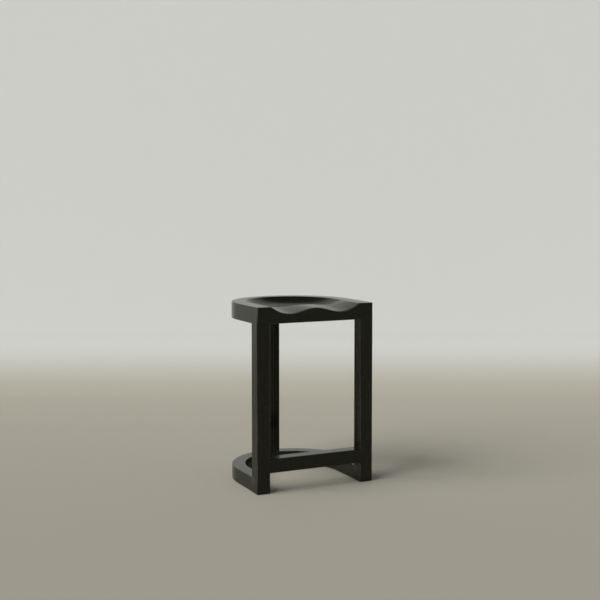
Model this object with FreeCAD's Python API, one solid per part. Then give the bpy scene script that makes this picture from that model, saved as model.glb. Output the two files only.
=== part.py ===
import FreeCAD, Part
import math
import os

# Saddle counter stool. Millimetres, +Z up, front towards -Y, origin on the floor under the middle of
# the stool. Each function below makes one kind of piece.

# Overall form
seat_height = 660.0
seat_width = 460.0
side_run = 190.0            # straight stretch of each side, before the round back begins
seat_thickness = 60.0
member_size = 50.0          # side of the square legs and post, and width of the base
base_height = 52.0
rail_underside = 72.0
rail_height = 50.0
edge_round = 3.0            # roundover on the exposed long edges

# Saddle carving
rim_width = 56.0            # flat border left along the straight sides
rear_rim_width = 40.0       # flat border left at the middle of the back
dish_depth = 32.0
dish_start = 65.0           # distance behind the front edge where the dish begins to sink
dish_full = 185.0           # distance behind the front edge where the dish reaches its depth
scoop_depth = 27.0          # depth of the two thigh scoops at the front edge
scoop_length = 190.0        # distance over which the scoops rise to nothing
pommel_height = 18.0        # rise of the middle of the front edge above the scoops
pommel_half_width = 100.0
wall_run = 80.0             # distance over which the carved wall falls from the rim to the floor
wall_power = 2.3            # steepness of that wall
crest_blend = 3.0           # softness of the crest between the scoops and the dish

# Seat boards and their dowels
board_names = ["front", "mid_front", "mid_rear", "rear"]
dowel_names = ["left", "middle", "right"]
dowel_diameter = 10.0
dowel_length = 50.0
dowel_spread = 120.0        # distance of the outer dowels from the middle

# Joinery
tenon_shoulder = 11.0       # wood left round each square tenon
seat_tenon_length = 34.0
base_tenon_length = 30.0    # tenon of the post down into the base
rail_tenon_thickness = 16.0
rail_tenon_shoulder = 8.0   # step above and below each rail tenon
rail_tenon_length = 32.0
loose_width = 28.0
loose_thickness = 12.0
loose_length = 44.0
tip_bevel = 1.0             # small bevel on the tips of tenons and dowels
joint_gap = 0.1             # clearance on each side of a tenon, dowel or loose tenon
depth_gap = 1.0             # room left at the bottom of each mortise

# Base
bow_names = ["left", "rear", "right"]
bow_turn = 180.0 / len(bow_names)

# Felt pads
pad_diameter = 22.0
pad_thickness = 3.0
pad_proud = 1.0             # how far each pad stands below the wood
pad_gap = 0.2               # clearance round each pad in its recess

# Places worked out from the sizes above
half_width = seat_width / 2
back_radius = half_width
seat_depth = side_run + back_radius
front_y = -seat_depth / 2
bend_y = front_y + side_run         # line where the straight sides meet the round back
back_y = seat_depth / 2
seat_under = seat_height - seat_thickness
wood_low = pad_proud
base_top = wood_low + base_height
rail_top = rail_underside + rail_height
leg_inner = half_width - member_size
leg_back = front_y + member_size
leg_middle = half_width - member_size / 2
leg_middle_y = front_y + member_size / 2
post_front = back_y - member_size
post_middle = back_y - member_size / 2
board_depth = seat_depth / len(board_names)
carved_half_width = half_width - rim_width
carved_rear_reach = back_radius - rear_rim_width    # how far the carving goes behind the bend line
dowel_rise = (seat_thickness - dish_depth) / 2      # dowels lie midway in the wood under the dish
tenon_size = member_size - 2 * tenon_shoulder
bow_middle_radius = back_radius - member_size / 2
base_middle_z = wood_low + base_height / 2


def point(x, y, z):
    return FreeCAD.Vector(x, y, z)


along_x, along_y, along_z = point(1, 0, 0), point(0, 1, 0), point(0, 0, 1)
middle = point(0, 0, 0)
touch = 1e-6                # two places closer than this are the same place


def block(xs, ys, zs):
    low = point(xs[0], ys[0], zs[0])
    return Part.makeBox(xs[1] - xs[0], ys[1] - ys[0], zs[1] - zs[0], low)


def join(shapes):
    return shapes[0].multiFuse(shapes[1:]).removeSplitter()


def one_solid(shape):
    return shape.Solids[0]


def runs_along(edge, axis):
    ends = [vertex.Point for vertex in edge.Vertexes]
    return len(ends) == 2 and (ends[1] - ends[0]).cross(axis).Length < touch


def bar(xs, ys, zs, axis, square=()):
    """A rectangular bar with its edges along the axis rounded over.

    The edges that start at one of the (x, y) corners in square are left sharp."""
    shape = block(xs, ys, zs)
    picked = []
    for edge in shape.Edges:
        place = edge.Vertexes[0].Point
        sharp = any(math.hypot(place.x - x, place.y - y) < touch for x, y in square)
        if runs_along(edge, axis) and not sharp:
            picked.append(edge)
    return shape.makeFillet(edge_round, picked)


def square_peg(x, y, z_from, z_to, grow=0.0):
    """A square tenon standing on z_from and ending at z_to, or its mortise where grow is a clearance."""
    low, high = min(z_from, z_to), max(z_from, z_to)
    a = tenon_size / 2 + grow
    peg = block((x - a, x + a), (y - a, y + a), (low, high))
    if grow > 0:
        return peg
    tip = [edge for edge in peg.Edges if all(abs(v.Z - z_to) < touch for v in edge.Vertexes)]
    return peg.makeChamfer(tip_bevel, tip)


def carved_depth(x, back):
    """Depth of the saddle below the rim, at x from the middle and back from the front edge.

    It is negative under the rim, so that the carving meets the rim in a clean line. The carving is
    straight-sided, then half an ellipse round the back."""
    behind = max(back - side_run, 0.0) * carved_half_width / carved_rear_reach
    inside = carved_half_width - math.hypot(x, behind)
    wall = 1 - (1 - min(inside, wall_run) / wall_run) ** wall_power
    settle = min(max((back - dish_start) / (dish_full - dish_start), 0.0), 1.0)
    dish = dish_depth * settle * settle * (3 - 2 * settle)
    share = min(abs(x) / pommel_half_width, 1.0)
    pommel = pommel_height * (1 + math.cos(math.pi * share)) / 2
    scoop = (scoop_depth - pommel) * max(1 - back / scoop_length, 0.0)
    floor = (dish + scoop + math.hypot(dish - scoop, crest_blend)) / 2
    return wall * floor


def saddle_cutter():
    """Everything above the carved surface, from a smooth surface through points of the carving."""
    spacing = 15.0          # between the points of the carving
    margin = 12.0           # reach of the surface past the seat's outline
    columns = math.ceil((seat_width + 2 * margin) / spacing) + 1
    rows = math.ceil((seat_depth + 2 * margin) / spacing) + 1
    grid = []
    for i in range(columns):
        x = -half_width - margin + i * (seat_width + 2 * margin) / (columns - 1)
        line = []
        for j in range(rows):
            back = -margin + j * (seat_depth + 2 * margin) / (rows - 1)
            line.append(point(x, front_y + back, seat_height - carved_depth(x, back)))
        grid.append(line)
    surface = Part.BSplineSurface()
    surface.interpolate(grid)
    return surface.toShape().extrude(seat_height * along_z)


def seat_blank():
    """The U-shaped slab before carving, its upper outline and front corners rounded over."""
    corners = [point(-half_width, front_y, seat_under), point(-half_width, bend_y, seat_under)]
    crown = point(0, bend_y + back_radius, seat_under)
    corners += [point(half_width, bend_y, seat_under), point(half_width, front_y, seat_under)]
    left = Part.LineSegment(corners[0], corners[1])
    back = Part.Arc(corners[1], crown, corners[2])
    right = Part.LineSegment(corners[2], corners[3])
    front = Part.LineSegment(corners[3], corners[0])
    outline = Part.Wire([edge.toShape() for edge in (left, back, right, front)])
    slab = Part.Face(outline).extrude(seat_thickness * along_z)
    picked = []
    for edge in slab.Edges:
        on_top = all(abs(v.Z - seat_height) < touch for v in edge.Vertexes)
        front_corner = runs_along(edge, along_z) and abs(edge.Vertexes[0].Y - front_y) < touch
        if on_top or front_corner:
            picked.append(edge)
    return slab.makeFillet(edge_round, picked)


def glue_line(index):
    """Y of the line between board index and the one behind it."""
    return front_y + (index + 1) * board_depth


def seat_dowel(x, y, grow=0.0, extra=0.0):
    radius = dowel_diameter / 2 + grow
    length = dowel_length + 2 * extra
    start = point(x, y - length / 2, seat_under + dowel_rise)
    dowel = Part.makeCylinder(radius, length, start, along_y)
    if grow > 0:
        return dowel
    rims = [edge for edge in dowel.Edges if len(edge.Vertexes) == 1]
    return dowel.makeChamfer(tip_bevel, rims)


def dowel_places():
    """(name, x, y) of each dowel across the seat's glue lines."""
    places = []
    for index, line in enumerate(board_names[:-1]):
        for step, side in enumerate(dowel_names):
            places.append((f"{line}_{side}", (step - 1) * dowel_spread, glue_line(index)))
    return places


def seat_boards():
    """The carved slab with its mortises, sawn into boards along the glue lines."""
    slab = seat_blank().cut(saddle_cutter())
    top = seat_under + seat_tenon_length + depth_gap
    cuts = [square_peg(x, leg_middle_y, seat_under, top, joint_gap) for x in (-leg_middle, leg_middle)]
    cuts.append(square_peg(0, post_middle, seat_under, top, joint_gap))
    cuts += [seat_dowel(x, y, joint_gap, depth_gap) for name, x, y in dowel_places()]
    slab = slab.cut(cuts)
    boards = {}
    for index, name in enumerate(board_names):
        ys = (glue_line(index - 1), glue_line(index))
        strip = block((-seat_width, seat_width), ys, (0, 2 * seat_height))
        boards[f"seat_board_{name}"] = slab.common(strip)
    return boards


def loose_tenon(angle, radius, y, grow=0.0, extra=0.0):
    """A flat tenon with round edges, lying along the base where it crosses the given angle.

    angle is measured round the middle of the back from the right side, and y moves the tenon along."""
    half_thick = loose_thickness / 2 + grow
    half_flat = (loose_width - loose_thickness) / 2
    length = loose_length + 2 * extra
    tenon = block((-half_flat, half_flat), (-length / 2, length / 2), (-half_thick, half_thick))
    for x in (-half_flat, half_flat):
        edge = Part.makeCylinder(half_thick, length, point(x, -length / 2, 0), along_y)
        tenon = tenon.fuse(edge)
    tenon = tenon.removeSplitter()
    tenon.translate(point(radius, 0, 0))
    tenon.rotate(middle, along_z, angle)
    tenon.translate(point(0, y, base_middle_z))
    return tenon


def loose_places():
    """(name, angle, y) of the loose tenons round the base, from the right leg to the left leg."""
    places = [("leg_right", 0.0, leg_back), ("arm_right", 0.0, bend_y)]
    places += [("bow_right", bow_turn, bend_y), ("bow_left", 2 * bow_turn, bend_y)]
    places += [("arm_left", 180.0, bend_y), ("leg_left", 180.0, leg_back)]
    return places


def loose_mortises():
    cuts = []
    for name, angle, y in loose_places():
        cuts.append(loose_tenon(angle, bow_middle_radius, y, joint_gap, depth_gap))
    return cuts


def pad_places():
    """(name, x, y) of the felt pads: under each leg and under the middle of each bow."""
    places = [("leg_left", -leg_middle, leg_middle_y), ("leg_right", leg_middle, leg_middle_y)]
    for index, name in enumerate(bow_names):
        angle = math.radians(180 - (index + 0.5) * bow_turn)
        x = bow_middle_radius * math.cos(angle)
        places.append((f"bow_{name}", x, bend_y + bow_middle_radius * math.sin(angle)))
    return places


def felt_pad(x, y):
    return Part.makeCylinder(pad_diameter / 2, pad_thickness, point(x, y, 0))


def pad_recesses():
    radius = pad_diameter / 2 + pad_gap
    return [Part.makeCylinder(radius, pad_thickness, point(x, y, 0)) for name, x, y in pad_places()]


def rail_tenon(side, grow=0.0, extra=0.0):
    reach = rail_tenon_length + extra
    start = side * leg_inner
    end = side * (leg_inner + reach)
    a = rail_tenon_thickness / 2 + grow
    zs = (rail_underside + rail_tenon_shoulder - grow, rail_top - rail_tenon_shoulder + grow)
    tenon = block((min(start, end), max(start, end)), (leg_middle_y - a, leg_middle_y + a), zs)
    if grow > 0:
        return tenon
    tip = [edge for edge in tenon.Edges if all(abs(v.X - end) < touch for v in edge.Vertexes)]
    return tenon.makeChamfer(tip_bevel, tip)


def leg(side):
    """A front leg. Its corners stay sharp where the base and the rail meet it, so those joints are flush."""
    outer, inner = side * half_width, side * leg_inner
    xs, ys = sorted((outer, inner)), (front_y, leg_back)
    back_outer, back_inner, front_inner = (outer, leg_back), (inner, leg_back), (inner, front_y)
    stretches = [(wood_low, base_top, [back_outer, back_inner]), (base_top, rail_underside, [])]
    stretches += [(rail_underside, rail_top, [front_inner, back_inner]), (rail_top, seat_under, [])]
    shaft = [bar(xs, ys, (low, high), along_z, square) for low, high, square in stretches]
    shaft.append(square_peg(side * leg_middle, leg_middle_y, seat_under, seat_under + seat_tenon_length))
    cuts = loose_mortises() + pad_recesses() + [rail_tenon(side, joint_gap, depth_gap)]
    return join(shaft).cut(cuts)


def rear_post():
    """The post at the back, its rear face following the round outline of the seat and the base."""
    a = member_size / 2
    back_corners = [(-a, back_y), (a, back_y)]
    shaft = bar((-a, a), (post_front, back_y), (base_top, seat_under), along_z, back_corners)
    outline = Part.makeCylinder(back_radius, seat_height, point(0, bend_y, 0))
    pieces = [shaft.common(outline)]
    pieces.append(square_peg(0, post_middle, seat_under, seat_under + seat_tenon_length))
    pieces.append(square_peg(0, post_middle, base_top, base_top - base_tenon_length))
    return join(pieces)


def foot_rail():
    rail = bar((-leg_inner, leg_inner), (front_y, leg_back), (rail_underside, rail_top), along_x)
    return join([rail, rail_tenon(-1), rail_tenon(1)])


def base_arm(side):
    xs = sorted((side * leg_inner, side * half_width))
    arm = bar(xs, (leg_back, bend_y), (wood_low, base_top), along_y)
    return arm.cut(loose_mortises())


def base_bow(index):
    """One curved piece of the base's round back, counted from the left."""
    corners = [point(x, 0, z) for x, z in ((leg_inner, wood_low), (half_width, wood_low),
                                           (half_width, base_top), (leg_inner, base_top))]
    section = Part.Face(Part.makePolygon(corners + corners[:1]))
    bow = section.revolve(middle, along_z, bow_turn)
    bow = bow.makeFillet(edge_round, [edge for edge in bow.Edges if isinstance(edge.Curve, Part.Circle)])
    bow.rotate(middle, along_z, 180 - (index + 1) * bow_turn)
    bow.translate(point(0, bend_y, 0))
    socket_end = base_top - base_tenon_length - depth_gap
    socket = square_peg(0, post_middle, socket_end, base_top + edge_round, joint_gap)
    return bow.cut(loose_mortises() + pad_recesses() + [socket])


def all_pieces():
    pieces = seat_boards()
    for name, x, y in dowel_places():
        pieces[f"seat_dowel_{name}"] = seat_dowel(x, y)
    for name, side in (("left", -1), ("right", 1)):
        pieces[f"leg_{name}"] = leg(side)
        pieces[f"base_arm_{name}"] = base_arm(side)
    pieces["rear_post"] = rear_post()
    pieces["foot_rail"] = foot_rail()
    for index, name in enumerate(bow_names):
        pieces[f"base_bow_{name}"] = base_bow(index)
    for name, angle, y in loose_places():
        pieces[f"base_tenon_{name}"] = loose_tenon(angle, bow_middle_radius, y)
    for name, x, y in pad_places():
        pieces[f"felt_pad_{name}"] = felt_pad(x, y)
    return pieces


os.makedirs("parts", exist_ok=True)
for name, shape in all_pieces().items():
    solid = one_solid(shape)
    solid.exportStep(f"parts/{name}.step")
    print(name, len(shape.Solids), solid.isValid(), round(solid.Volume))
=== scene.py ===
import math
import bmesh
import bpy
from mathutils import Matrix, Vector


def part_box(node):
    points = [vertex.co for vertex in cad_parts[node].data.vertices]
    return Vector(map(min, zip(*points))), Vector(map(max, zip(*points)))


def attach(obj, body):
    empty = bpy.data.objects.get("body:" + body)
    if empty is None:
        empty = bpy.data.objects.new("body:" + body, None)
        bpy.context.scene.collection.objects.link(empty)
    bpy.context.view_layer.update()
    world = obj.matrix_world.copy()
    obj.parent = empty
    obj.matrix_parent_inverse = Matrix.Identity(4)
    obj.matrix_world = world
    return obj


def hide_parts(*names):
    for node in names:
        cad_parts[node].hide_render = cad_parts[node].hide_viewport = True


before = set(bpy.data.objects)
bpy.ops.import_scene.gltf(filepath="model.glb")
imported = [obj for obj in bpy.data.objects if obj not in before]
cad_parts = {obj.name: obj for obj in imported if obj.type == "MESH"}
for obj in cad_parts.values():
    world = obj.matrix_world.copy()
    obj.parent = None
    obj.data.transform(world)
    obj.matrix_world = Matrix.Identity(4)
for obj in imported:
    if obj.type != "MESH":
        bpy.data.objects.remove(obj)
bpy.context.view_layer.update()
scene = bpy.context.scene
scene.view_settings.view_transform = "Standard"
print("frame loaded:", len(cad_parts), "nodes")


# Sizes of the stool in metres, read from the frame

def nodeBox(node):                      # lowest and highest corner, to a hundredth of a millimetre
    return [Vector([round(c, 5) for c in corner]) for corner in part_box(node)]


seatLow, seatHigh = nodeBox("seat_board_front")
legHigh = nodeBox("leg_right")[1]
armLow, armHigh = nodeBox("base_arm_right")
railLow, railHigh = nodeBox("foot_rail")
postLow, postHigh = nodeBox("rear_post")
looseLow, looseHigh = nodeBox("base_tenon_leg_right")
halfWidth, frontY = seatHigh.x, seatLow.y
seatUnder, seatTop = seatLow.z, seatHigh.z
legInner, legBack, bendY = armLow.x, armLow.y, armHigh.y
woodLow, baseTop = armLow.z, armHigh.z
backY = postHigh.y
legMiddle = Vector(((legInner + halfWidth) / 2, (frontY + legBack) / 2, 0))
postMiddle = Vector((0, (postLow.y + backY) / 2, 0))
baseMiddle = (woodLow + baseTop) / 2
bowMiddle = (legInner + halfWidth) / 2  # radius of the middle line round the back
toRight = Vector((1, 0, 0))
backwards = Vector((0, 1, 0))
upwards = Vector((0, 0, 1))
same = 1e-6                             # two places closer than this are the same place
weld = 1e-5                             # closer vertices are merged, and closer faces share a plane


# Camera at the photograph's viewing angle

photoView = {"place": (-1.7117, -3.6374, 1.0252), "turn": 25.669, "dip": 3.597, "lens": 64.915,
             "shift": -0.05}


def makeCamera():
    data = bpy.data.cameras.new("photoCamera")
    data.lens = photoView["lens"]
    data.shift_y = photoView["shift"]
    camera = bpy.data.objects.new("photoCamera", data)
    camera.location = photoView["place"]
    camera.rotation_euler = (math.radians(90 - photoView["dip"]), 0, math.radians(-photoView["turn"]))
    scene.collection.objects.link(camera)
    scene.camera = camera


makeCamera()
print("camera set")


# Node helpers

def feed(tree, socket, value):          # a socket takes a link or a plain value
    if isinstance(value, bpy.types.NodeSocket):
        tree.links.new(value, socket)
    else:
        socket.default_value = value


def calc(tree, operation, first, second=0.0, third=0.0):
    node = tree.nodes.new("ShaderNodeMath")
    node.operation = operation
    for socket, value in zip(node.inputs, (first, second, third)):
        feed(tree, socket, value)
    return node.outputs[0]


def stretch(tree, vector, factors):
    node = tree.nodes.new("ShaderNodeVectorMath")
    node.operation = "MULTIPLY"
    feed(tree, node.inputs[0], vector)
    node.inputs[1].default_value = factors
    return node.outputs[0]


def noise(tree, vector, scale, detail=2.0):
    node = tree.nodes.new("ShaderNodeTexNoise")
    feed(tree, node.inputs["Vector"], vector)
    node.inputs["Scale"].default_value = scale
    node.inputs["Detail"].default_value = detail
    return node.outputs["Fac"]


def ramp(tree, value, fromLow, fromHigh, toLow=0.0, toHigh=1.0):
    node = tree.nodes.new("ShaderNodeMapRange")
    node.interpolation_type = "SMOOTHSTEP"
    feed(tree, node.inputs["Value"], value)
    node.inputs["From Min"].default_value = fromLow
    node.inputs["From Max"].default_value = fromHigh
    node.inputs["To Min"].default_value = toLow
    node.inputs["To Max"].default_value = toHigh
    return node.outputs["Result"]


def blendColours(tree, share, first, second):
    node = tree.nodes.new("ShaderNodeMix")
    node.data_type = "RGBA"
    feed(tree, node.inputs["Factor"], share)
    feed(tree, node.inputs["A"], first)
    feed(tree, node.inputs["B"], second)
    return node.outputs["Result"]


def newGroup(name, inputs, outputs):
    group = bpy.data.node_groups.new(name, "ShaderNodeTree")
    for label, kind in inputs:
        group.interface.new_socket(label, in_out="INPUT", socket_type=kind)
    for label in outputs:
        group.interface.new_socket(label, in_out="OUTPUT", socket_type="NodeSocketFloat")
    source = group.nodes.new("NodeGroupInput").outputs
    target = group.nodes.new("NodeGroupOutput").inputs
    return group, source, target


def useGroup(tree, group, **values):
    node = tree.nodes.new("ShaderNodeGroup")
    node.node_tree = group
    for label, value in values.items():
        feed(tree, node.inputs[label], value)
    return node.outputs


def newMaterial(name):
    material = bpy.data.materials.new(name)
    material.use_nodes = True
    tree = material.node_tree
    return material, tree, tree.nodes["Principled BSDF"].inputs


def addBump(tree, shader, height, depth, strength):
    bump = tree.nodes.new("ShaderNodeBump")
    feed(tree, bump.inputs["Height"], height)
    bump.inputs["Distance"].default_value = depth
    bump.inputs["Strength"].default_value = strength
    feed(tree, shader["Normal"], bump.outputs["Normal"])


# Wood: rings about a pith that runs along X, long fibres, and open pores in the early wood of each ring

figure = {"swayStretch": (0.12, 1, 1), "swayScale": 9, "swayDetail": 2, "tonePower": 1.8,
          "toneLeast": 0.4, "toneSpread": 0.6, "fibreStretch": (0.022, 1, 1), "fibreScale": 420,
          "fibreDetail": 3, "fibreFrom": 0.3, "fibreTo": 0.7, "fibreRise": 0.35,
          "poreStretch": (0.035, 1, 1), "poreScale": 1150, "poreDetail": 1, "poreFrom": 0.58,
          "poreTo": 0.70}


def streaks(tree, vector, kind):        # noise drawn out along the grain
    drawn = stretch(tree, vector, figure[kind + "Stretch"])
    return noise(tree, drawn, figure[kind + "Scale"], figure[kind + "Detail"])


def makeGrainGroup():
    number = "NodeSocketFloat"
    inputs = [("Vector", "NodeSocketVector"), ("RingWidth", number), ("Wander", number)]
    group, source, target = newGroup("woodGrain", inputs, ["Tone", "Fibre", "Pores"])
    along = source["Vector"]
    length = group.nodes.new("ShaderNodeVectorMath")
    length.operation = "LENGTH"
    feed(group, length.inputs[0], stretch(group, along, (0, 1, 1)))         # distance from the pith
    sway = calc(group, "SUBTRACT", streaks(group, along, "sway"), 0.5)      # to both sides of a true ring
    radius = calc(group, "MULTIPLY_ADD", sway, source["Wander"], length.outputs["Value"])
    rings = calc(group, "DIVIDE", radius, source["RingWidth"])
    ringShare = calc(group, "FRACT", rings)
    year = group.nodes.new("ShaderNodeTexWhiteNoise")
    year.noise_dimensions = "1D"
    feed(group, year.inputs["W"], calc(group, "FLOOR", rings))
    strength = calc(group, "MULTIPLY_ADD", year.outputs["Value"], figure["toneSpread"], figure["toneLeast"])
    tone = calc(group, "POWER", ringShare, figure["tonePower"])
    feed(group, target["Tone"], calc(group, "MULTIPLY", tone, strength))
    feed(group, target["Fibre"], streaks(group, along, "fibre"))
    pits = ramp(group, streaks(group, along, "pore"), figure["poreFrom"], figure["poreTo"])
    early = calc(group, "SUBTRACT", 1.0, ringShare)
    feed(group, target["Pores"], calc(group, "MULTIPLY", pits, early))
    return group


rubAndHighlightPatches = {"patchScale": 16, "patchLeast": 0.35, "scuffScale": 150, "scuffLeast": 0.5, "detail": 3,
        "from": 0.35, "to": 0.65}


def makeRubAndHighlightGroup():                     # where hands, legs and shoes polish and scuff the rounded edges, and where a highlight is painted on the seat's front corners
    inputs = [("Edge", "NodeSocketFloat"), ("Vector", "NodeSocketVector")]
    group, source, target = newGroup("edgeRubAndHighlight", inputs, ["Rub"])
    rubAndHighlight = source["Edge"]
    for mark in ("patch", "scuff"):
        uneven = noise(group, source["Vector"], rubAndHighlightPatches[mark + "Scale"], rubAndHighlightPatches["detail"])
        uneven = ramp(group, uneven, rubAndHighlightPatches["from"], rubAndHighlightPatches["to"], rubAndHighlightPatches[mark + "Least"], 1.0)
        rubAndHighlight = calc(group, "MULTIPLY", rubAndHighlight, uneven)
    feed(group, target["Rub"], rubAndHighlight)
    return group


woodGrain = makeGrainGroup()
edgeRubAndHighlight = makeRubAndHighlightGroup()
quarter = math.pi / 2
grainAlongX, grainAlongY, grainAlongZ = (0, 0, 0), (0, 0, -quarter), (0, quarter, 0)


def grainOf(tree, turn, shift, wood):   # turn brings the grain onto X, shift picks the place in the log
    place = tree.nodes.new("ShaderNodeTexCoord").outputs["Object"]
    mapping = tree.nodes.new("ShaderNodeMapping")
    feed(tree, mapping.inputs["Vector"], place)
    mapping.inputs["Rotation"].default_value = turn
    mapping.inputs["Location"].default_value = shift
    grain = useGroup(tree, woodGrain, Vector=mapping.outputs["Vector"],
                     RingWidth=wood["ringWidth"], Wander=wood["wander"])
    return place, grain


def fibreRamp(tree, grain, low=0.0, high=1.0):              # the fibres' light and dark over a range
    return ramp(tree, grain["Fibre"], figure["fibreFrom"], figure["fibreTo"], low, high)


def addGrainBump(tree, shader, grain, wood):                # fibres stand a little proud and pores lie open
    pits = calc(tree, "MULTIPLY", grain["Pores"], -1.0)
    height = calc(tree, "MULTIPLY_ADD", grain["Fibre"], figure["fibreRise"], pits)
    addBump(tree, shader, height, wood["bumpDepth"], wood["bumpStrength"])


# the pale edge colour below is wear along the edges and also a painted highlight on the seat's front corners
stain = {"deep": (0.0022, 0.0022, 0.0017, 1), "pale": (0.0150, 0.0147, 0.0104, 1),
         "rubbedAndHighlight": (0.140, 0.130, 0.108, 1), "rubAndHighlightShare": 0.38, "ringShare": 0.6, "fibreShare": 0.4,
         "poreShare": 0.7, "ringWidth": 0.0042, "wander": 0.016, "smooth": 0.13, "rough": 0.25,
         "poreRough": 0.30, "rubShine": 0.05, "shine": 0.31, "shineTint": (0.98, 1.0, 0.80, 1),
         "bumpDepth": 0.0002, "bumpStrength": 0.15}


def stainedWood(node, turn, shift):     # black stain under a satin finish
    material, tree, shader = newMaterial(pieceName(node) + "Stain")
    place, grain = grainOf(tree, turn, shift, stain)
    edge = tree.nodes.new("ShaderNodeAttribute")
    edge.attribute_name = "edge"
    rubAndHighlight = useGroup(tree, edgeRubAndHighlight, Edge=edge.outputs["Fac"], Vector=place)["Rub"]
    tone = calc(tree, "MULTIPLY", grain["Tone"], stain["ringShare"])
    tone = calc(tree, "MULTIPLY_ADD", fibreRamp(tree, grain), stain["fibreShare"], tone)
    colour = blendColours(tree, tone, stain["deep"], stain["pale"])
    pores = calc(tree, "MULTIPLY", grain["Pores"], stain["poreShare"])
    colour = blendColours(tree, pores, colour, stain["deep"])
    # the pale rub colour is wear along the edges and, on the seat's front corners, a painted highlight
    rubAndHighlightMix = calc(tree, "MULTIPLY", rubAndHighlight, stain["rubAndHighlightShare"])
    feed(tree, shader["Base Color"], blendColours(tree, rubAndHighlightMix, colour, stain["rubbedAndHighlight"]))
    rough = fibreRamp(tree, grain, stain["smooth"], stain["rough"])
    rough = calc(tree, "MULTIPLY_ADD", grain["Pores"], stain["poreRough"], rough)
    feed(tree, shader["Roughness"], calc(tree, "MULTIPLY_ADD", rubAndHighlight, -stain["rubShine"], rough))
    shader["Specular IOR Level"].default_value = stain["shine"]
    shader["Specular Tint"].default_value = stain["shineTint"]
    addGrainBump(tree, shader, grain, stain)
    return material


# Mesh helpers

def newMesh():
    bm = bmesh.new()
    bm.loops.layers.float.new("edge")   # 1 along the middle of a rounded edge, more on the seat's front corners, where a highlight is painted
    return bm


def everything(bm):
    return bm.verts[:] + bm.edges[:] + bm.faces[:]


def box(bm, low, high):
    size = [b - a for a, b in zip(low, high)]
    centre = [(a + b) / 2 for a, b in zip(low, high)]
    place = Matrix.Translation(centre) @ Matrix.Diagonal((*size, 1))
    bmesh.ops.create_cube(bm, size=1, matrix=place)


def sawCut(bm, place, normal, **clear):     # cuts a line of vertices, or saws off one side
    bmesh.ops.bisect_plane(bm, geom=everything(bm), dist=same, plane_co=place, plane_no=normal, **clear)


def inOrder(items):                     # each item once, in the order they come
    return list(dict.fromkeys(items))


def score(bm, faces, place, normal):    # cuts a line of vertices across a few faces only
    edges = inOrder(edge for face in faces for edge in face.edges)
    bmesh.ops.bisect_plane(bm, geom=vertsOf(edges) + edges + faces, dist=same,
                           plane_co=place, plane_no=normal)


def drawChain(bm, points):              # an edge chain, drawn by extruding one vertex from point to point
    tip = bmesh.ops.create_vert(bm, co=points[0])["vert"][0]
    for point in points[1:]:
        tip = bmesh.ops.extrude_vert_indiv(bm, verts=[tip])["verts"][0]
        tip.co = point
    return bm.edges[:]


def edgesOf(geometry):
    return [g for g in geometry if isinstance(g, bmesh.types.BMEdge)]


def vertsOf(edges):
    return inOrder(vert for edge in edges for vert in edge.verts)


def pull(bm, edges, step):              # extrudes edges by a step and gives the new ones
    made = edgesOf(bmesh.ops.extrude_edge_only(bm, edges=edges)["geom"])
    bmesh.ops.translate(bm, verts=vertsOf(made), vec=step)
    return made


def swing(bm, edges, centre, axis, angle, steps):       # spins edges round an axis and gives the last ones
    turned = bmesh.ops.spin(bm, geom=vertsOf(edges) + edges, cent=centre, axis=axis, angle=angle,
                            steps=steps, use_duplicate=False)
    return edgesOf(turned["geom_last"])


def roundOver(bm, edges, radius, segments=4):
    made = bmesh.ops.bevel(bm, geom=edges, offset=radius, offset_type="OFFSET", segments=segments,
                           profile=0.5, affect="EDGES", material=-1)
    rounded = set(made["faces"])
    layer = bm.loops.layers.float["edge"]
    for face in rounded:
        for loop in face.loops:
            loop[layer] = float(all(near in rounded for near in loop.vert.link_faces))


def spread(start, end, step):           # even places after start, up to and with end
    count = max(1, round((end - start) / step))
    return [start + (end - start) * i / count for i in range(1, count + 1)]


def middleOf(edge):
    return (edge.verts[0].co + edge.verts[1].co) / 2


straight = 0.01                         # sine of the angle that an edge may stray from its axis
cornerAngle = 1.0                       # radians, under the bars' right angles and over the carving's slopes


def runsAlong(edge, axis):
    return (edge.verts[1].co - edge.verts[0].co).normalized().cross(axis).length < straight


def isCorner(edge):                     # the faces beside it meet at a clear angle
    return edge.is_manifold and edge.calc_face_angle() > cornerAngle


def pieceName(node):                    # leg_left becomes legLeft
    first, *others = node.split("_")
    return first + "".join(word.capitalize() for word in others)


sharpAngle = math.radians(35)


def makePiece(node, bm, material):
    name = pieceName(node)
    bmesh.ops.recalc_face_normals(bm, faces=bm.faces[:])
    loose = sum(not edge.is_manifold for edge in bm.edges)
    mesh = bpy.data.meshes.new(name)
    bm.to_mesh(mesh)
    bm.free()
    mesh.shade_smooth()
    mesh.set_sharp_from_angle(angle=sharpAngle)
    mesh.materials.append(material)
    piece = bpy.data.objects.new(name, mesh)
    scene.collection.objects.link(piece)
    evened = piece.modifiers.new("flatFaces", "WEIGHTED_NORMAL")
    evened.keep_sharp = True
    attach(piece, "root")
    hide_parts(node)
    print(" ", name, len(mesh.polygons), "faces,", loose, "open edges")
    return piece


# Joinery: tenons raised from flat faces, and the mortises, dowel holes and recesses let into them

joints = {"shoulder": 0.011, "railTenon": 0.016, "railShoulder": 0.008, "tipBevel": 0.001,
          "gap": 0.0001, "padGap": 0.0002, "spareDepth": 0.001, "easedEnd": 0.0003, "roundSegments": 32}
flatEnough = 0.9999                     # least cosine between a face's normal and that of its plane
tenonSide = 2 * (legMiddle.x - legInner - joints["shoulder"])
squareTenon = (tenonSide, tenonSide)
railTenon = (joints["railTenon"], railHigh.z - railLow.z - 2 * joints["railShoulder"])
looseSection = (looseHigh.x - looseLow.x, looseHigh.z - looseLow.z)
seatTenonLength = legHigh.z - seatUnder
baseTenonLength = baseTop - postLow.z
railTenonLength = railHigh.x - legInner
looseReach = (looseHigh.y - looseLow.y) / 2


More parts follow.
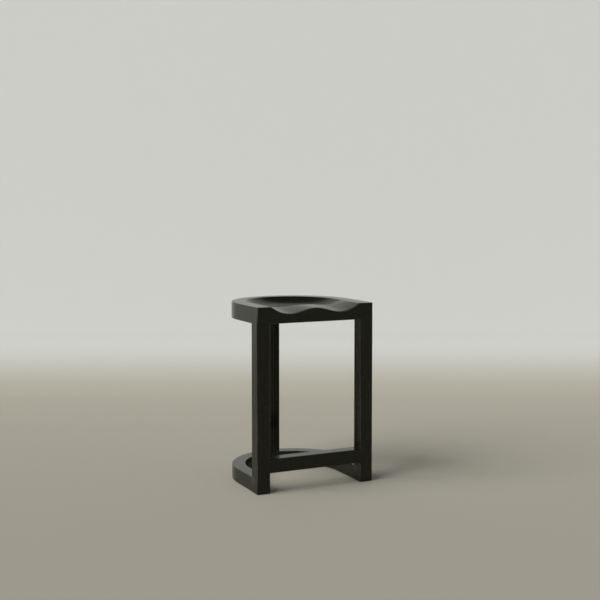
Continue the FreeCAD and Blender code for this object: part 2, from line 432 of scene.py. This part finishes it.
def flatFaces(bm, place, outward):      # the faces that lie in the plane through a place
    bm.normal_update()
    flat = [face for face in bm.faces if face.normal.dot(outward) > flatEnough]
    return [face for face in flat if abs((face.calc_center_median() - place).dot(outward)) < weld]


def joinFlat(bm, place, outward):
    bmesh.ops.dissolve_faces(bm, faces=flatFaces(bm, place, outward), use_verts=True)


def easeEnd(bm, place, outward):        # a fine bevel round an end, so that its joint shows as a hairline
    rim = inOrder(edge for face in flatFaces(bm, place, outward) for edge in face.edges)
    roundOver(bm, [edge for edge in rim if isCorner(edge)], joints["easedEnd"], segments=1)


def faceFrame(centre, outward):         # local X lies level in the face and local Z points out of it
    level = upwards.cross(outward)
    if level.length < same:
        level = toRight
    turn = Matrix((level, outward.cross(level), outward)).transposed()
    return Matrix.Translation(centre) @ turn.to_4x4()


def drawOutline(bm, centre, outward, size, corner):     # a rectangle with round corners, or a circle
    count = joints["roundSegments"] if corner > 0 else 4
    turn = Matrix.Rotation(math.pi / count, 4, "Z")
    ring = bmesh.ops.create_circle(bm, cap_ends=False, radius=max(corner, same), segments=count,
                                   matrix=turn)
    for vert in ring["verts"]:
        vert.co.x += math.copysign(size[0] / 2 - corner, vert.co.x)
        vert.co.y += math.copysign(size[1] / 2 - corner, vert.co.y)
    bmesh.ops.transform(bm, matrix=faceFrame(centre, outward), verts=ring["verts"])
    return inOrder(edge for vert in ring["verts"] for edge in vert.link_edges)


def workFace(bm, centres, outward, size, corner, step):     # sinks holes in a flat face, or raises a tenon
    flat = flatFaces(bm, centres[0], outward)
    face = next(f for f in flat if bmesh.geometry.intersect_face_point(f, centres[0]))
    border = face.edges[:]
    bmesh.ops.delete(bm, geom=[face], context="FACES_ONLY")
    outlines = [drawOutline(bm, centre, outward, size, corner) for centre in centres]
    drawn = [edge for outline in outlines for edge in outline]
    bmesh.ops.triangle_fill(bm, use_beauty=True, edges=border + drawn)
    tips = []
    for outline in outlines:
        tips += bmesh.ops.contextual_create(bm, geom=pull(bm, outline, step))["faces"]
    return tips


def cutMortise(bm, centres, outward, size, length, corner=0.0):
    gap = joints["gap"]
    grown = [side + 2 * gap for side in size]
    depth = length + joints["spareDepth"]
    workFace(bm, centres, outward, grown, corner + gap if corner > 0 else 0.0, -depth * outward)


def cutLooseMortise(bm, centre, outward):
    cutMortise(bm, [centre], outward, looseSection, looseReach, looseSection[1] / 2)


def raiseTenon(bm, centre, outward, size, length):
    tip, = workFace(bm, [centre], outward, size, 0.0, length * outward)
    roundOver(bm, tip.edges[:], joints["tipBevel"], segments=1)


def cutPadRecess(bm, padNode):
    low, high = nodeBox(padNode)
    centre = Vector(((low.x + high.x) / 2, (low.y + high.y) / 2, woodLow))
    size = (high.x - low.x + 2 * joints["padGap"],) * 2
    workFace(bm, [centre], -upwards, size, size[0] / 2, (high.z - woodLow) * upwards)


# Seat: one carved slab, sawn into its four boards

saddle = {"rim": 0.056, "rearRim": 0.040, "wallRun": 0.080, "wallPower": 2.3, "dishDepth": 0.032,
          "dishStart": 0.065, "dishFull": 0.185, "scoopDepth": 0.027, "scoopLength": 0.190,
          "pommelHeight": 0.018, "pommelHalfWidth": 0.100, "crestBlend": 0.003, "rimRoll": 0.0018,
          "edgeRound": 0.003, "underRound": 0.002, "firstRow": 0.006, "rimRow": 0.009,
          "rollReach": 0.008, "rollRow": 0.001, "step": 0.0055, "turnSteps": 72, "cornerHighlight": 2.2}
carvedHalf = halfWidth - saddle["rim"]              # half the carving's width
carvedRear = backY - bendY - saddle["rearRim"]      # its reach behind the line where the back turns
boardCuts = {"front": (0.11, 0.165, -0.545), "mid_front": (1.37, 0.030, -0.755),
             "mid_rear": (2.71, -0.065, -0.535), "rear": (4.05, -0.140, -0.770)}
boardNames = list(boardCuts)
dowelSides = ["left", "middle", "right"]


def saddleDepth(x, y):
    back = y - frontY
    inside = carvedHalf - math.hypot(x, max(y - bendY, 0) * carvedHalf / carvedRear)
    fall = min(inside, saddle["wallRun"]) / saddle["wallRun"]
    wall = 1 - (1 - fall) ** saddle["wallPower"]
    settle = (back - saddle["dishStart"]) / (saddle["dishFull"] - saddle["dishStart"])
    settle = min(max(settle, 0), 1)
    dish = saddle["dishDepth"] * settle * settle * (3 - 2 * settle)
    share = min(abs(x) / saddle["pommelHalfWidth"], 1)
    pommel = saddle["pommelHeight"] * (1 + math.cos(math.pi * share)) / 2
    scoop = (saddle["scoopDepth"] - pommel) * max(1 - back / saddle["scoopLength"], 0)
    floor = (dish + scoop + math.hypot(dish - scoop, saddle["crestBlend"])) / 2
    depth = wall * floor
    return (depth + math.hypot(depth, saddle["rimRoll"])) / 2       # the rim's inner edge rolls over


def followRim(bm):                      # bends the spun rows so that they run along the rim's inner edge
    for vert in bm.verts:
        x, y = vert.co.x, vert.co.y - bendY
        if y > same and vert.co.z > seatTop - same:
            radius = math.hypot(x, y)
            rimRadius = 1 / math.hypot(x / radius / carvedHalf, y / radius / carvedRear)
            moved = radius * rimRadius / carvedHalf
            if radius > carvedHalf:
                moved = halfWidth - (halfWidth - radius) * (halfWidth - rimRadius) / saddle["rim"]
            vert.co.x, vert.co.y = x * moved / radius, bendY + y * moved / radius


def overJoint(place):                   # where a leg or the post stands under the seat's lower edge
    gap = saddle["underRound"]
    overLeg = abs(place.x) > legInner - gap and place.y < legBack + gap
    overPost = abs(place.x) < postHigh.x + gap and place.y > bendY
    return overLeg or overPost


def rimRows():                          # insets of the rows from the outline, closest at the rim's edge
    rim, first, reach = saddle["rim"], saddle["firstRow"], saddle["rollReach"]
    rows = [0.0, first] + spread(first, rim - reach, saddle["rimRow"])
    rows += spread(rim - reach, rim + reach, saddle["rollRow"])
    return rows + spread(rim + reach, halfWidth, saddle["step"])


def carvedSlab():
    bm = newMesh()
    first, step = saddle["firstRow"], saddle["step"]
    under = legInner - saddle["underRound"]
    chain = [(0, frontY, seatUnder), (-under, frontY, seatUnder), (-halfWidth, frontY, seatUnder)]
    chain += [(inset - halfWidth, frontY, seatTop) for inset in rimRows()]
    edges = drawChain(bm, chain)
    joint = legBack + saddle["underRound"]
    rows = [frontY, frontY + first] + spread(frontY + first, joint, step) + spread(joint, bendY, step)
    for near, far in zip(rows, rows[1:]):
        edges = pull(bm, edges, (0, far - near, 0))
    edges = swing(bm, edges, (0, bendY, 0), upwards, -math.pi, saddle["turnSteps"])
    for near, far in zip(rows[::-1], rows[-2::-1]):
        edges = pull(bm, edges, (0, far - near, 0))
    bmesh.ops.remove_doubles(bm, verts=bm.verts[:], dist=weld)
    bmesh.ops.dissolve_degenerate(bm, edges=bm.edges[:], dist=same)
    bmesh.ops.contextual_create(bm, geom=[e for e in bm.edges if e.is_boundary])
    for x in (-under, under):           # the lower edge's rounding stops here, beside a leg
        front = [f for f in bm.faces if all(v.co.y < frontY + same for v in f.verts)]
        score(bm, front, (x, 0, 0), toRight)
    bmesh.ops.recalc_face_normals(bm, faces=bm.faces[:])
    return bm


def paintCornerHighlight(bm):                    # painted highlight: the seat's front corners get more of the pale rub colour, most near the top
    layer = bm.loops.layers.float["edge"]
    reach = saddle["edgeRound"] + same
    for loop in [loop for face in bm.faces for loop in face.loops]:
        place = loop.vert.co
        if abs(place.x) > halfWidth - reach and place.y < frontY + reach:
            height = (place.z - seatUnder) / (seatTop - seatUnder)
            loop[layer] *= 1 + saddle["cornerHighlight"] * height


def shapeSlab(bm):
    corners = [e for e in bm.edges if isCorner(e)]
    under = [e for e in corners if all(v.co.z < seatUnder + same for v in e.verts)]
    upper = [e for e in corners if e not in under]
    under = [e for e in under if not overJoint(middleOf(e))]
    followRim(bm)
    for vert in bm.verts:
        if vert.co.z > seatTop - same:
            vert.co.z = seatTop - saddleDepth(vert.co.x, vert.co.y)
    roundOver(bm, upper, saddle["edgeRound"])
    roundOver(bm, under, saddle["underRound"])
    paintCornerHighlight(bm)


def drillDowelHoles(bm, row, outward):
    boxes = [nodeBox(f"seat_dowel_{row}_{side}") for side in dowelSides]
    centres = [(low + high) / 2 for low, high in boxes]
    low, high = boxes[0]
    thick, reach = high.x - low.x, (high.y - low.y) / 2
    cutMortise(bm, centres, outward, (thick, thick), reach, thick / 2)


def cutSeatMortises(bm, board):
    standing = {"front": [legMiddle, Vector((-legMiddle.x, legMiddle.y, 0))], "rear": [postMiddle]}
    if board in standing:
        centres = [place + seatUnder * upwards for place in standing[board]]
        cutMortise(bm, centres, -upwards, squareTenon, seatTenonLength)


def sawBoards(slab):
    for index, board in enumerate(boardNames):
        node = "seat_board_" + board
        low, high = nodeBox(node)
        bm = slab.copy()
        sawCut(bm, low, backwards, clear_inner=True)
        sawCut(bm, high, backwards, clear_outer=True)
        bmesh.ops.holes_fill(bm, edges=[e for e in bm.edges if e.is_boundary], sides=0)
        bmesh.ops.recalc_face_normals(bm, faces=bm.faces[:])
        joinFlat(bm, low, -upwards)
        cutSeatMortises(bm, board)
        if index > 0:
            drillDowelHoles(bm, boardNames[index - 1], -backwards)
        if board != boardNames[-1]:
            drillDowelHoles(bm, board, backwards)
        makePiece(node, bm, stainedWood(node, grainAlongX, boardCuts[board]))
    slab.free()


slab = carvedSlab()
shapeSlab(slab)
sawBoards(slab)
print("seat made")


# Frame: legs, rear post and foot rail

bars = {"edgeRound": 0.003, "footBevel": 0.001, "footSegments": 2, "backSteps": 8}
barCuts = {"leg_left": (0.2, 0.27, -0.13), "leg_right": (1.9, 0.12, 0.31),
           "rear_post": (0.6, 0.10, 0.07), "foot_rail": (3.3, 0.27, 0.02)}


def makeLeg(node, side):
    turn = bars["edgeRound"]
    outer, inner = side * halfWidth, side * legInner
    middle = Vector((side * legMiddle.x, legMiddle.y, 0))
    bm = newMesh()
    box(bm, (min(outer, inner), frontY, woodLow), (max(outer, inner), legBack, seatUnder))
    armLevel, railFoot, railHead = baseTop + turn, railLow.z - turn, railHigh.z + turn
    for level in (armLevel, railFoot, railHead):
        sawCut(bm, (0, 0, level), upwards)
    rounded = []
    for edge in [e for e in bm.edges if runsAlong(e, upwards) and isCorner(e)]:
        place = middleOf(edge)
        meetsArm = place.y > frontY + same and place.z < armLevel
        meetsRail = abs(place.x - inner) < same and railFoot < place.z < railHead
        if not (meetsArm or meetsRail):
            rounded.append(edge)
    roundOver(bm, rounded, turn)
    foot = [e for e in bm.edges if all(v.co.z < woodLow + same for v in e.verts) and isCorner(e)]
    roundOver(bm, foot, bars["footBevel"], bars["footSegments"])
    top = middle + seatUnder * upwards
    easeEnd(bm, top, upwards)
    raiseTenon(bm, top, upwards, squareTenon, seatTenonLength)
    railMiddle = Vector((inner, legMiddle.y, (railLow.z + railHigh.z) / 2))
    cutMortise(bm, [railMiddle], -side * toRight, railTenon, railTenonLength)
    cutLooseMortise(bm, Vector((middle.x, legBack, baseMiddle)), backwards)
    cutPadRecess(bm, "felt_pad_" + node)
    makePiece(node, bm, stainedWood(node, grainAlongZ, barCuts[node]))


def makePost(node):
    bm = newMesh()
    half = postHigh.x
    box(bm, (-half, postLow.y, baseTop), (half, backY, seatUnder))
    for x in spread(-half, half, 2 * half / bars["backSteps"])[:-1]:
        sawCut(bm, (x, 0, 0), toRight)
    radius = backY - bendY
    for vert in bm.verts:
        if vert.co.y > backY - same:
            vert.co.y = bendY + math.sqrt(radius ** 2 - vert.co.x ** 2)
    roundOver(bm, [e for e in bm.edges if runsAlong(e, upwards) and isCorner(e)], bars["edgeRound"])
    tenons = [(seatUnder, upwards, seatTenonLength), (baseTop, -upwards, baseTenonLength)]
    for level, outward, length in tenons:
        end = postMiddle + level * upwards
        joinFlat(bm, end, outward)
        easeEnd(bm, end, outward)
        raiseTenon(bm, end, outward, squareTenon, length)
    makePiece(node, bm, stainedWood(node, grainAlongZ, barCuts[node]))


def makeRail(node):
    bm = newMesh()
    box(bm, (-legInner, frontY, railLow.z), (legInner, legBack, railHigh.z))
    roundOver(bm, [e for e in bm.edges if runsAlong(e, toRight)], bars["edgeRound"])
    for side in (-1, 1):
        end = Vector((side * legInner, legMiddle.y, (railLow.z + railHigh.z) / 2))
        easeEnd(bm, end, side * toRight)
        raiseTenon(bm, end, side * toRight, railTenon, railTenonLength)
    makePiece(node, bm, stainedWood(node, grainAlongX, barCuts[node]))


makeLeg("leg_left", -1)
makeLeg("leg_right", 1)
makePost("rear_post")
makeRail("foot_rail")
print("frame made")


# Base: two straight arms and three bows

base = {"edgeRound": 0.003, "turnSteps": 28, "bowTurn": math.pi / 3}
baseCuts = {"base_arm_left": (0.9, 0.16, 0.22), "base_arm_right": (2.2, -0.24, 0.31),
            "base_bow_left": (0.7, -0.19, 0.14), "base_bow_rear": (2.0, 0.14, 0.14),
            "base_bow_right": (3.3, 0.47, 0.14)}


def makeArm(node, side):
    bm = newMesh()
    xs = sorted((side * legInner, side * halfWidth))
    box(bm, (xs[0], legBack, woodLow), (xs[1], bendY, baseTop))
    roundOver(bm, [e for e in bm.edges if runsAlong(e, backwards)], base["edgeRound"])
    for y, outward in ((legBack, -backwards), (bendY, backwards)):
        end = Vector((side * legMiddle.x, y, baseMiddle))
        easeEnd(bm, end, outward)
        cutLooseMortise(bm, end, outward)
    makePiece(node, bm, stainedWood(node, grainAlongY, baseCuts[node]))


def roundTheBack(angle, radius, z):     # a place round the back, by its angle from the right side
    return Vector((radius * math.cos(angle), bendY + radius * math.sin(angle), z))


def makeBow(node, index):
    bm = newMesh()
    turn = base["bowTurn"]
    start = math.pi - index * turn      # the bows follow each other from the left arm to the right one
    corners = [(legInner, woodLow), (halfWidth, woodLow), (halfWidth, baseTop), (legInner, baseTop)]
    drawChain(bm, [roundTheBack(start, radius, z) for radius, z in corners])
    first = bmesh.ops.contextual_create(bm, geom=bm.verts[:])["faces"][0].edges[:]
    last = swing(bm, first, (0, bendY, 0), upwards, -turn, base["turnSteps"])
    bmesh.ops.contextual_create(bm, geom=last)
    bmesh.ops.recalc_face_normals(bm, faces=bm.faces[:])
    ends = set(first + last)
    roundOver(bm, [e for e in bm.edges if isCorner(e) and e not in ends], base["edgeRound"])
    for angle, sense in ((start, 1), (start - turn, -1)):
        end = roundTheBack(angle, bowMiddle, baseMiddle)
        outward = sense * Vector((-math.sin(angle), math.cos(angle), 0))
        easeEnd(bm, end, outward)
        cutLooseMortise(bm, end, outward)
    joinFlat(bm, baseTop * upwards, upwards)
    joinFlat(bm, woodLow * upwards, -upwards)
    if node == "base_bow_rear":
        cutMortise(bm, [postMiddle + baseTop * upwards], upwards, squareTenon, baseTenonLength)
    cutPadRecess(bm, node.replace("base", "felt_pad"))
    chord = start - turn / 2 + quarter  # the plank's grain runs along the bow's chord
    makePiece(node, bm, stainedWood(node, (0, 0, -chord), baseCuts[node]))


makeArm("base_arm_left", -1)
makeArm("base_arm_right", 1)
for index, node in enumerate(("base_bow_left", "base_bow_rear", "base_bow_right")):
    makeBow(node, index)
print("base made")


# Felt pads let into the undersides

pads = {"edgeRound": 0.0009, "roundSegments": 3, "bulge": 0.00012, "wallCuts": 3, "segments": 48,
        "deep": (0.010, 0.010, 0.009, 1), "pale": (0.052, 0.050, 0.045, 1), "fibreScale": 2600,
        "fibreDetail": 4, "clumpScale": 700, "clumpShare": 0.5, "from": 0.3, "to": 0.7, "smooth": 0.85,
        "rough": 1.0, "sheen": 0.35, "shine": 0.2, "bumpDepth": 0.0006, "bumpStrength": 0.7}


def makeFelt():
    material, tree, shader = newMaterial("padFelt")
    place = tree.nodes.new("ShaderNodeTexCoord").outputs["Object"]
    fibres = noise(tree, place, pads["fibreScale"], pads["fibreDetail"])
    clumps = noise(tree, place, pads["clumpScale"])
    mottle = calc(tree, "MULTIPLY", fibres, 1 - pads["clumpShare"])
    mottle = calc(tree, "MULTIPLY_ADD", clumps, pads["clumpShare"], mottle)
    shade = ramp(tree, mottle, pads["from"], pads["to"])
    feed(tree, shader["Base Color"], blendColours(tree, shade, pads["deep"], pads["pale"]))
    rough = ramp(tree, fibres, pads["from"], pads["to"], pads["smooth"], pads["rough"])
    feed(tree, shader["Roughness"], rough)
    shader["Sheen Weight"].default_value = pads["sheen"]
    shader["Specular IOR Level"].default_value = pads["shine"]
    addBump(tree, shader, mottle, pads["bumpDepth"], pads["bumpStrength"])
    return material


def makePad(node, material):
    low, high = nodeBox(node)
    radius = (high.x - low.x) / 2
    centre = Vector(((low.x + high.x) / 2, (low.y + high.y) / 2, low.z))
    bm = newMesh()
    bmesh.ops.create_circle(bm, cap_ends=True, radius=radius, segments=pads["segments"],
                            matrix=Matrix.Translation(centre))
    bottom = bm.faces[:]
    raised = bmesh.ops.extrude_face_region(bm, geom=bottom, use_keep_orig=True)["geom"]
    bmesh.ops.translate(bm, verts=[g for g in raised if isinstance(g, bmesh.types.BMVert)],
                        vec=(high.z - low.z) * upwards)
    bmesh.ops.recalc_face_normals(bm, faces=bm.faces[:])
    wall = [e for e in bm.edges if runsAlong(e, upwards)]
    bmesh.ops.subdivide_edges(bm, edges=wall, cuts=pads["wallCuts"])
    for vert in bm.verts:               # the weight of the stool squeezes the wall out a little
        share = (vert.co.z - low.z) / (high.z - low.z)
        away = vert.co - centre
        away.z = 0
        vert.co += away.normalized() * pads["bulge"] * math.sin(math.pi * share)
    roundOver(bm, [e for e in bm.edges if isCorner(e)], pads["edgeRound"], pads["roundSegments"])
    pad = makePiece(node, bm, material)


padFelt = makeFelt()
for spot in ("leg_left", "leg_right", "bow_left", "bow_rear", "bow_right"):
    makePad("felt_pad_" + spot, padFelt)
print("pads made")


# Bare wood on the dowels and loose tenons inside the joints

bareWood = {"deep": (0.40, 0.245, 0.125, 1), "pale": (0.60, 0.42, 0.255, 1),
            "pore": (0.26, 0.145, 0.07, 1), "ringShare": 0.5, "fibreShare": 0.5, "ringWidth": 0.0026,
            "wander": 0.010, "smooth": 0.48, "rough": 0.66, "bumpDepth": 0.0003, "bumpStrength": 0.35}
bareCuts = {"dowel": (0.3, 0.06, -0.58), "armTenon": (0.8, 0.15, 0.05), "bowTenon": (1.1, 0.2, 0.06)}


def unstainedWood(name, turn, shift):
    material, tree, shader = newMaterial(name)
    grain = grainOf(tree, turn, shift, bareWood)[1]
    tone = calc(tree, "MULTIPLY", grain["Tone"], bareWood["ringShare"])
    tone = calc(tree, "MULTIPLY_ADD", fibreRamp(tree, grain), bareWood["fibreShare"], tone)
    colour = blendColours(tree, tone, bareWood["pale"], bareWood["deep"])
    feed(tree, shader["Base Color"], blendColours(tree, grain["Pores"], colour, bareWood["pore"]))
    feed(tree, shader["Roughness"], fibreRamp(tree, grain, bareWood["smooth"], bareWood["rough"]))
    addGrainBump(tree, shader, grain, bareWood)
    return material


def coat(nodes, material):
    for node in nodes:
        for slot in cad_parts[node].material_slots:
            slot.material = material


dowels = [f"seat_dowel_{row}_{side}" for row in boardNames[:-1] for side in dowelSides]
coat(dowels, unstainedWood("dowelWood", grainAlongY, bareCuts["dowel"]))
coat([f"base_tenon_{joint}_{side}" for joint in ("leg", "arm") for side in ("left", "right")],
     unstainedWood("armTenonWood", grainAlongY, bareCuts["armTenon"]))
for index, side in enumerate(("left", "right")):
    across = math.pi - (index + 1) * base["bowTurn"] + quarter
    wood = unstainedWood("bowTenonWood" + side.capitalize(), (0, 0, -across), bareCuts["bowTenon"])
    coat(["base_tenon_bow_" + side], wood)
print("joints finished")


# Studio: a pale floor that sweeps up into a wall, and soft daylight from the left

# the dark upper colour, faded in high up the wall, is painted shade standing in for light falling off
studio = {"wall": 1.9, "cove": 0.30, "height": 2.7, "span": 40.0, "reach": 40.0, "coveSteps": 24,
          "floorColour": (0.40, 0.375, 0.330, 1), "wallColour": (0.83, 0.84, 0.85, 1), "riseTo": 0.34,
          "paintedShadeColour": (0.30, 0.30, 0.30, 1), "paintedShadeFrom": 2.1, "paintedShadeTo": 3.0, "roughness": 0.9,
          "shine": 0.1, "clear": 0.0002}
daylight = {"from": (-0.70, -0.06, 0.60), "strength": 3.1, "softness": 48, "tint": (0.99, 1.0, 0.94),
            "horizon": (0.57, 0.58, 0.56, 1), "overhead": (0.06, 0.063, 0.066, 1), "dimFrom": 0.12,
            "dimTo": 0.75}


def makePaper():
    material, tree, shader = newMaterial("studioPaper")
    split = tree.nodes.new("ShaderNodeSeparateXYZ")
    feed(tree, split.inputs[0], tree.nodes.new("ShaderNodeTexCoord").outputs["Object"])
    rise = ramp(tree, split.outputs["Z"], 0.0, studio["riseTo"])
    paper = blendColours(tree, rise, studio["floorColour"], studio["wallColour"])
    # painted shade: the wall's paper darkens towards its top
    paintedShade = ramp(tree, split.outputs["Z"], studio["paintedShadeFrom"], studio["paintedShadeTo"])
    feed(tree, shader["Base Color"], blendColours(tree, paintedShade, paper, studio["paintedShadeColour"]))
    shader["Roughness"].default_value = studio["roughness"]
    shader["Specular IOR Level"].default_value = studio["shine"]
    seeThrough = tree.nodes.new("ShaderNodeMixShader")      # clear from behind and from below
    feed(tree, seeThrough.inputs[0], tree.nodes.new("ShaderNodeNewGeometry").outputs["Backfacing"])
    feed(tree, seeThrough.inputs[1], tree.nodes["Principled BSDF"].outputs[0])
    feed(tree, seeThrough.inputs[2], tree.nodes.new("ShaderNodeBsdfTransparent").outputs[0])
    feed(tree, tree.nodes["Material Output"].inputs["Surface"], seeThrough.outputs[0])
    return material


def makeStage():
    bm = newMesh()
    span, reach, low = studio["span"], studio["reach"], -studio["clear"]
    flat = studio["wall"] - studio["cove"]
    edges = drawChain(bm, [(span, -reach, low), (-span, -reach, low)])
    edges = pull(bm, edges, (0, reach + flat, 0))
    edges = swing(bm, edges, (0, flat, low + studio["cove"]), toRight, quarter, studio["coveSteps"])
    pull(bm, edges, (0, 0, studio["height"]))
    facing = Matrix.Rotation(math.radians(-photoView["turn"]), 3, "Z")
    bmesh.ops.rotate(bm, verts=bm.verts[:], cent=(0, 0, 0), matrix=facing)
    mesh = bpy.data.meshes.new("studioSweep")
    bm.to_mesh(mesh)
    bm.free()
    mesh.shade_smooth()
    mesh.materials.append(makePaper())
    sweep = bpy.data.objects.new("studioSweep", mesh)
    scene.collection.objects.link(sweep)


def makeDaylight():
    data = bpy.data.lights.new("windowLight", "SUN")
    data.energy = daylight["strength"]
    data.color = daylight["tint"]
    data.angle = math.radians(daylight["softness"])
    lamp = bpy.data.objects.new("windowLight", data)
    lamp.rotation_euler = (-Vector(daylight["from"])).to_track_quat("-Z", "Y").to_euler()
    scene.collection.objects.link(lamp)


def makeAir():                          # pale round the horizon, dim overhead
    world = bpy.data.worlds.new("studioAir")
    world.use_nodes = True
    tree = world.node_tree
    split = tree.nodes.new("ShaderNodeSeparateXYZ")
    feed(tree, split.inputs[0], tree.nodes.new("ShaderNodeTexCoord").outputs["Generated"])
    climb = ramp(tree, split.outputs["Z"], daylight["dimFrom"], daylight["dimTo"])
    colour = blendColours(tree, climb, daylight["horizon"], daylight["overhead"])
    feed(tree, tree.nodes["Background"].inputs["Color"], colour)
    scene.world = world


makeStage()
makeDaylight()
makeAir()
print("studio lit")
